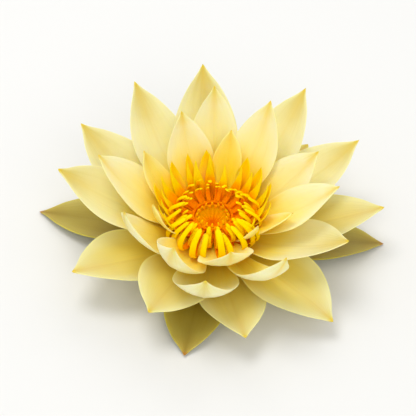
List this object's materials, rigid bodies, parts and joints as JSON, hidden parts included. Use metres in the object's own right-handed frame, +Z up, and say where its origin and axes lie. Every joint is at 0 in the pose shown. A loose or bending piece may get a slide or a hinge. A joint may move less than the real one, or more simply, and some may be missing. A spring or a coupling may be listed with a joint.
{
  "type": "water lily flower",
  "caption": "Open water lily flower with pointed boat-shaped yellow petals in whorls, a ring of golden stamens and a stigma disc, picked with a short stem stub and resting face up.",
  "frame": {"origin": "middle of the flower's outline, on the surface that it rests on", "axes": "+Z up along the flower's axis, -Y towards the side the flower is seen from, +X to its right, along its longest extent"},
  "size_m": [0.1446, 0.128, 0.0524],
  "materials": {
    "stem": null,
    "sepal": null,
    "outer_petal": null,
    "middle_petal": null,
    "inner_petal": null,
    "small_petal": null,
    "staminode": null,
    "stamen": null,
    "stigma": null
  },
  "bodies": {
    "root": {"stem_and_ovary": "stem", "sepal_1": "sepal", "sepal_2": "sepal", "sepal_3": "sepal", "sepal_4": "sepal", "outer_petal_1": "outer_petal", "outer_petal_2": "outer_petal", "outer_petal_3": "outer_petal", "outer_petal_4": "outer_petal", "outer_petal_5": "outer_petal", "outer_petal_6": "outer_petal", "outer_petal_7": "outer_petal", "outer_petal_8": "outer_petal", "middle_petal_1": "middle_petal", "middle_petal_2": "middle_petal", "middle_petal_3": "middle_petal", "middle_petal_4": "middle_petal", "middle_petal_5": "middle_petal", "middle_petal_6": "middle_petal", "middle_petal_7": "middle_petal", "middle_petal_8": "middle_petal", "inner_petal_1": "inner_petal", "inner_petal_2": "inner_petal", "inner_petal_3": "inner_petal", "inner_petal_4": "inner_petal", "inner_petal_5": "inner_petal", "inner_petal_6": "inner_petal", "inner_petal_7": "inner_petal", "inner_petal_8": "inner_petal", "inner_petal_9": "inner_petal", "inner_petal_10": "inner_petal", "small_petal_1": "small_petal", "small_petal_2": "small_petal", "small_petal_3": "small_petal", "small_petal_4": "small_petal", "small_petal_5": "small_petal", "staminode_1": "staminode", "staminode_2": "staminode", "staminode_3": "staminode", "staminode_4": "staminode", "staminode_5": "staminode", "staminode_6": "staminode", "staminode_7": "staminode", "staminode_8": "staminode", "staminode_9": "staminode", "staminode_10": "staminode", "staminode_11": "staminode", "staminode_12": "staminode", "outer_stamens": "stamen", "middle_stamens": "stamen", "inner_stamens": "stamen", "stigma_disc": "stigma"}
  },
  "joints": []
}
